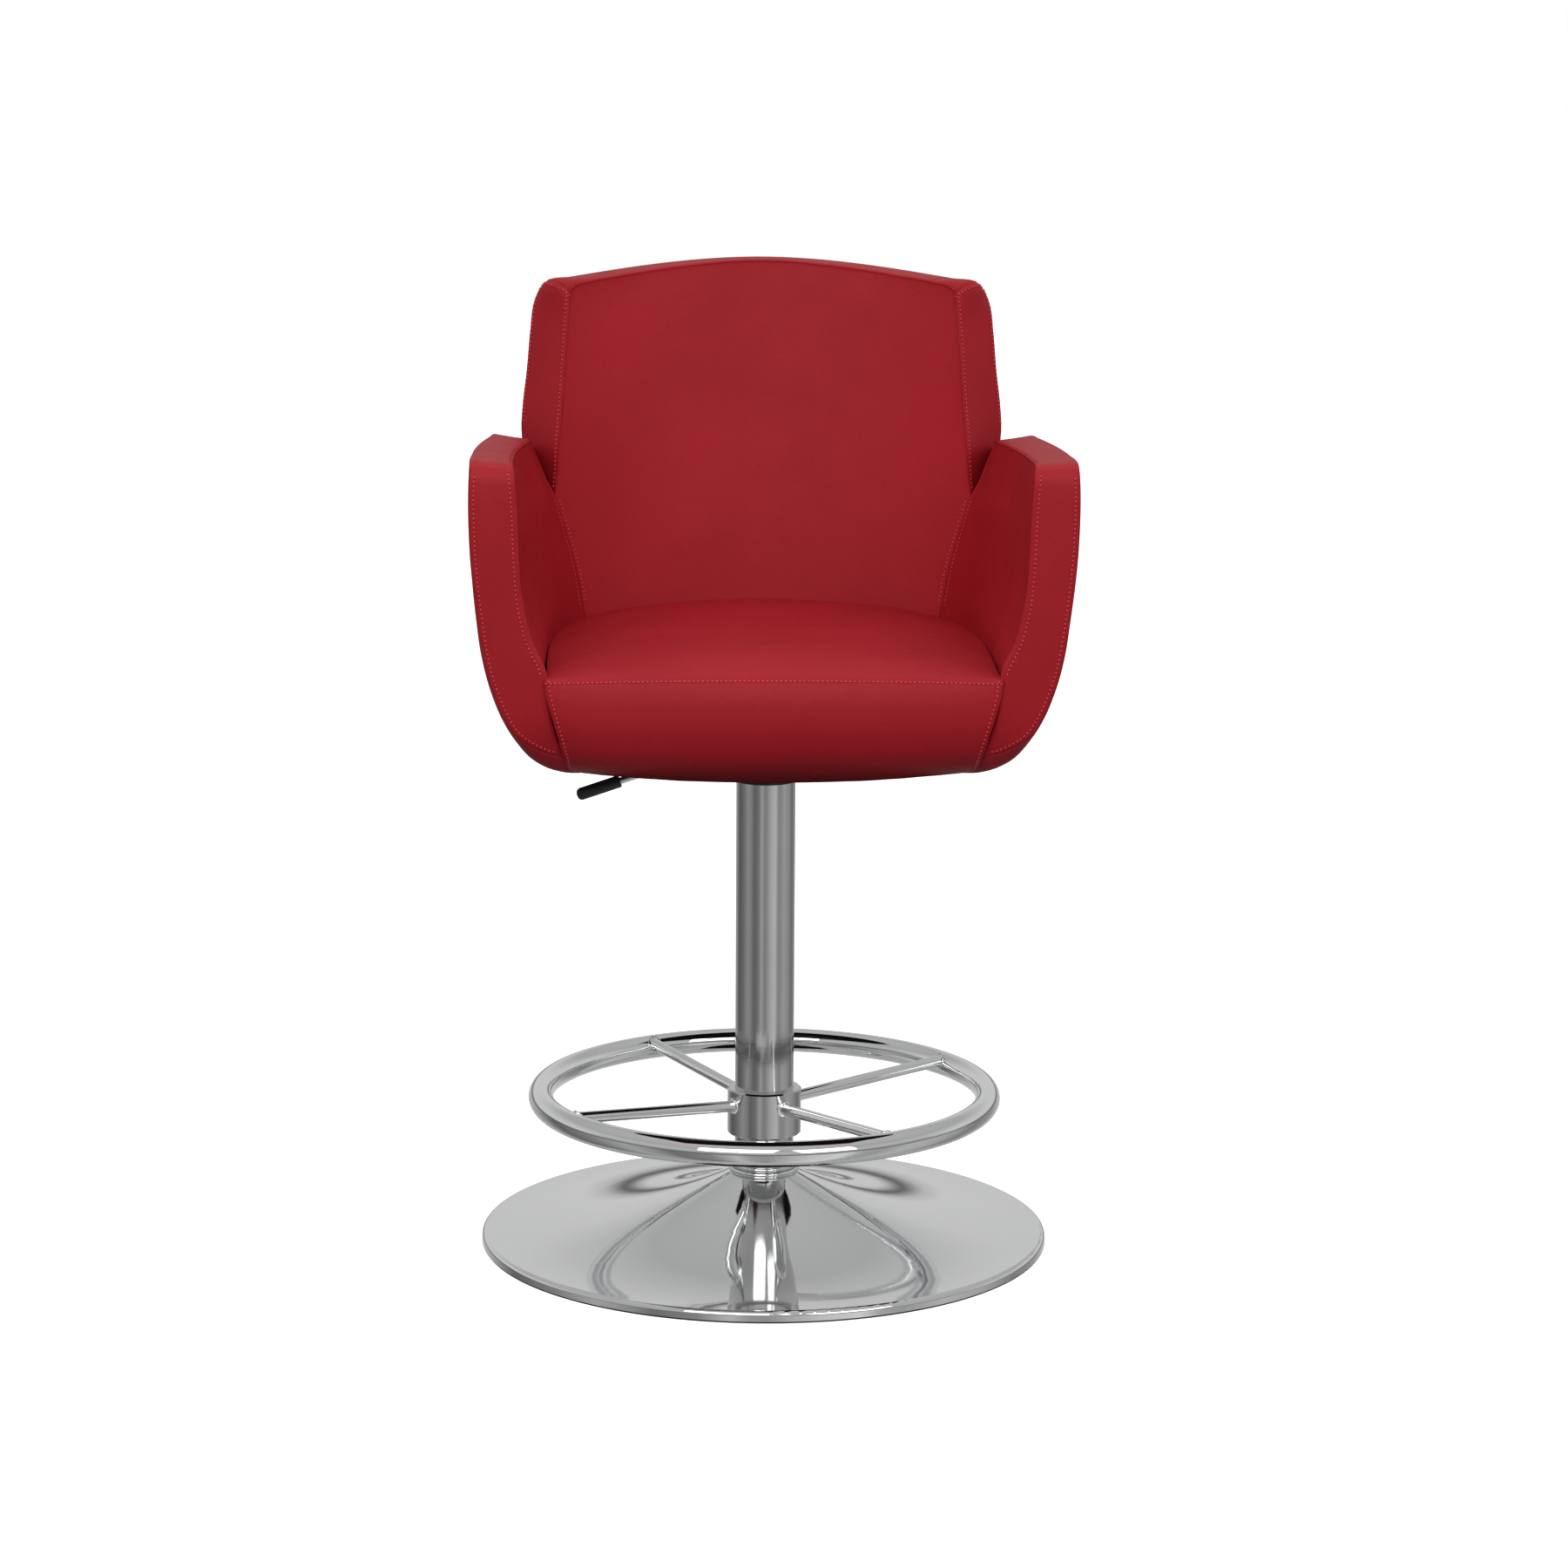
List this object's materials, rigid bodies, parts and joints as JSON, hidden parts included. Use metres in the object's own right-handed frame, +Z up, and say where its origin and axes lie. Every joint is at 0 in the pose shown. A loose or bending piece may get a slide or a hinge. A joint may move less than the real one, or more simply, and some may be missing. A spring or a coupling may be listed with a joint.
{
  "type": "adjustable swivel stool",
  "caption": "Height-adjustable swivel stool with an upholstered tub seat and arms, one steel column, a round foot ring on spokes and a domed disc base.",
  "frame": {"origin": "on the floor, on the column's axis, in the middle of the disc base", "axes": "+Z up the column, +X to the sitter's left, the sitter faces -Y"},
  "size_m": [0.5858, 0.58, 0.9937],
  "materials": {
    "red_vinyl": "satin",
    "chrome": "polished",
    "brushed_column": "satin",
    "lift_black": "satin",
    "zinc_steel": "satin",
    "black_rubber": "matte",
    "black_plastic": "satin",
    "ballast_iron": "matte",
    "black_painted_steel": "satin",
    "piston_aluminium": "satin",
    "plywood": "matte"
  },
  "bodies": {
    "base": {"base_cover": "chrome", "floor_ring": "black_rubber", "ballast_plate": "ballast_iron", "column_flange": "black_painted_steel", "foot_bolts": "zinc_steel", "neck_ring_lower": "chrome", "neck_ring_upper": "chrome", "column_tube": "brushed_column", "column_top_ring": "black_plastic", "stand_tube_socket": "black_painted_steel", "footring_collar": "brushed_column", "collar_grub_screws": "zinc_steel", "footring_tube": "chrome", "footring_spoke_1": "chrome", "footring_spoke_2": "chrome", "footring_spoke_3": "chrome", "footring_spoke_4": "chrome", "stand_tube": "black_painted_steel", "guide_bush": "black_plastic", "bearing_lower_race": "zinc_steel", "bearing_balls": "zinc_steel"},
    "lift_rod": {"bearing_upper_race": "zinc_steel", "rod_clip": "zinc_steel", "rod_bumper": "black_rubber", "piston_rod": "zinc_steel", "piston": "piston_aluminium", "piston_seal": "black_rubber"},
    "seat": {"back_brackets": "black_painted_steel", "back_pad": "red_vinyl", "back_panel": "plywood", "frame_bolts": "zinc_steel", "gas_cylinder": "lift_black", "left_arm_brackets": "black_painted_steel", "left_arm_pad": "red_vinyl", "left_arm_panel": "plywood", "lever_pin": "zinc_steel", "mount_channel": "black_painted_steel", "mount_plate": "black_painted_steel", "plate_bolts": "zinc_steel", "right_arm_brackets": "black_painted_steel", "right_arm_pad": "red_vinyl", "right_arm_panel": "plywood", "rod_seal": "black_rubber", "seat_board": "plywood", "seat_cushion": "red_vinyl", "taper_hub": "black_painted_steel", "tee_nuts": "zinc_steel", "under_pad": "red_vinyl"},
    "lever": {"release_lever": "zinc_steel", "lever_grip": "black_plastic"},
    "button": {"release_button": "zinc_steel"}
  },
  "joints": [
    {"name": "seat_swivel", "type": "hinge", "parent": "base", "child": "lift_rod", "pos_m": [0, 0, 0.04], "axis": [0, 0, 1], "continuous": true},
    {"name": "seat_height", "type": "slide", "parent": "lift_rod", "child": "seat", "axis": [0, 0, 1], "range_m": [0, 0.14]},
    {"name": "lever_lift", "type": "hinge", "parent": "seat", "child": "lever", "pos_m": [-0.034, 0, 0.51675], "axis": [0, 1, 0], "range_deg": [0, 6], "stiffness_Nm_per_rad": 2, "springref_deg": -8.59},
    {"name": "button_travel", "type": "slide", "parent": "seat", "child": "button", "axis": [0, 0, -1], "range_m": [0, 0.004]}
  ],
  "couplings": [
    {"joint": "button_travel", "follows": "lever_lift", "m_per_rad": 0.034}
  ]
}
